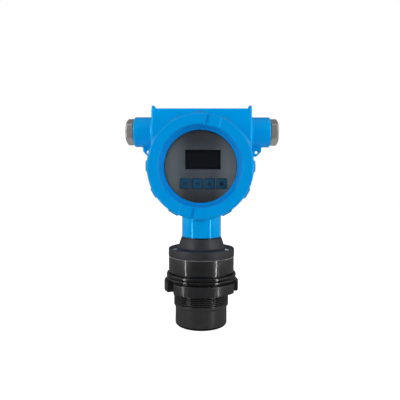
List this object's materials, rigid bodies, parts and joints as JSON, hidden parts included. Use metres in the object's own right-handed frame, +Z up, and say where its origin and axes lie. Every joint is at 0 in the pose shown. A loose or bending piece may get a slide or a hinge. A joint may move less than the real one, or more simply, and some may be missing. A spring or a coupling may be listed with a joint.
{
  "type": "ultrasonic level sensor",
  "caption": "Ultrasonic level sensor: twin-chamber housing with window cover, display and keys, conduit bosses with plugs, and a threaded transducer with lock nut.",
  "frame": {"origin": "centre of the transducer's radiating face, the datum of its measurement", "axes": "+Z up along the probe, the display faces -Y, +X to the right as seen from the front"},
  "size_m": [0.167, 0.121, 0.2376],
  "materials": {
    "blue_paint": "gloss",
    "black_plastic": "satin gloss",
    "satin_plastic": "satin",
    "black_rubber": "matte",
    "plug_steel": "turned",
    "brass": "turned",
    "ring_aluminium": "turned",
    "window_glass": "polished",
    "panel_grey": "satin film",
    "screen_black": "gloss",
    "key_teal": "satin",
    "switch_plastic": "moulded",
    "board": "solder mask",
    "terminal_green": "moulded",
    "fill": "cast"
  },
  "bodies": {
    "sensor": {"housing": "blue_paint", "left_lug": "blue_paint", "right_lug": "blue_paint", "display_panel": "panel_grey", "lcd_module": "screen_black", "key_switches": "switch_plastic", "panel_spacers": "brass", "display_board": "board", "main_board": "board", "board_spacers": "brass", "drive_transformer": "switch_plastic", "feedthrough": "black_rubber", "signal_lead": "black_rubber", "terminal_block": "terminal_green", "terminal_screws": "plug_steel", "earth_screw": "brass", "neck_seal": "black_rubber", "adapter_flange": "satin_plastic", "flange_screws": "plug_steel", "transducer_body": "black_plastic", "matching_layer": "fill", "piezo_disc": "fill", "damping_backing": "fill", "potting_fill": "fill"},
    "front_cover_seal": {"front_cover_oring": "black_rubber"},
    "front_cover": {"front_cover": "blue_paint", "window_glass": "window_glass", "window_gasket": "black_rubber", "glass_retaining_ring": "ring_aluminium"},
    "rear_cover_seal": {"rear_cover_oring": "black_rubber"},
    "rear_cover": {"rear_cover": "blue_paint"},
    "left_plug_seal": {"left_plug_washer": "black_rubber"},
    "left_plug": {"left_plug": "plug_steel"},
    "right_plug_seal": {"right_plug_washer": "black_rubber"},
    "right_plug": {"right_plug": "plug_steel"},
    "nut_seals": {"sealing_gasket": "black_rubber", "thrust_washer": "black_plastic"},
    "lock_nut": {"lock_nut": "black_plastic"},
    "key_1": {"key_1": "key_teal"},
    "key_2": {"key_2": "key_teal"},
    "key_3": {"key_3": "key_teal"},
    "key_4": {"key_4": "key_teal"}
  },
  "joints": [
    {"name": "front_cover_travel", "type": "slide", "parent": "sensor", "child": "front_cover_seal", "axis": [0, -1, 0], "range_m": [0, 0.0121]},
    {"name": "front_cover_turn", "type": "hinge", "parent": "front_cover_seal", "child": "front_cover", "pos_m": [0, -0.0284, 0.1726], "axis": [0, -1, 0], "range_deg": [0, 2160]},
    {"name": "rear_cover_travel", "type": "slide", "parent": "sensor", "child": "rear_cover_seal", "axis": [0, 1, 0], "range_m": [0, 0.0121]},
    {"name": "rear_cover_turn", "type": "hinge", "parent": "rear_cover_seal", "child": "rear_cover", "pos_m": [0, 0.0284, 0.1726], "axis": [0, 1, 0], "range_deg": [0, 2160]},
    {"name": "left_plug_travel", "type": "slide", "parent": "sensor", "child": "left_plug_seal", "axis": [-1, 0, 0], "range_m": [0, 0.0121]},
    {"name": "left_plug_turn", "type": "hinge", "parent": "left_plug_seal", "child": "left_plug", "pos_m": [-0.0745, 0, 0.2118], "axis": [-1, 0, 0], "range_deg": [0, 2880]},
    {"name": "right_plug_travel", "type": "slide", "parent": "sensor", "child": "right_plug_seal", "axis": [1, 0, 0], "range_m": [0, 0.0121]},
    {"name": "right_plug_turn", "type": "hinge", "parent": "right_plug_seal", "child": "right_plug", "pos_m": [0.0745, 0, 0.2118], "axis": [1, 0, 0], "range_deg": [0, 2880]},
    {"name": "lock_nut_travel", "type": "slide", "parent": "sensor", "child": "nut_seals", "axis": [0, 0, -1], "range_m": [0, 0.0201]},
    {"name": "lock_nut_turn", "type": "hinge", "parent": "nut_seals", "child": "lock_nut", "pos_m": [0, 0, 0.0386], "axis": [0, 0, -1], "range_deg": [0, 3600]},
    {"name": "key_1_press", "type": "slide", "parent": "sensor", "child": "key_1", "axis": [0, 1, 0], "range_m": [0, 0.0004], "stiffness_N_per_m": 1500},
    {"name": "key_2_press", "type": "slide", "parent": "sensor", "child": "key_2", "axis": [0, 1, 0], "range_m": [0, 0.0004], "stiffness_N_per_m": 1500},
    {"name": "key_3_press", "type": "slide", "parent": "sensor", "child": "key_3", "axis": [0, 1, 0], "range_m": [0, 0.0004], "stiffness_N_per_m": 1500},
    {"name": "key_4_press", "type": "slide", "parent": "sensor", "child": "key_4", "axis": [0, 1, 0], "range_m": [0, 0.0004], "stiffness_N_per_m": 1500}
  ],
  "couplings": [
    {"joint": "front_cover_travel", "follows": "front_cover_turn", "m_per_rad": 0.00031831},
    {"joint": "rear_cover_travel", "follows": "rear_cover_turn", "m_per_rad": 0.00031831},
    {"joint": "left_plug_travel", "follows": "left_plug_turn", "m_per_rad": 0.00023873},
    {"joint": "right_plug_travel", "follows": "right_plug_turn", "m_per_rad": 0.00023873},
    {"joint": "lock_nut_travel", "follows": "lock_nut_turn", "m_per_rad": 0.00031831}
  ]
}
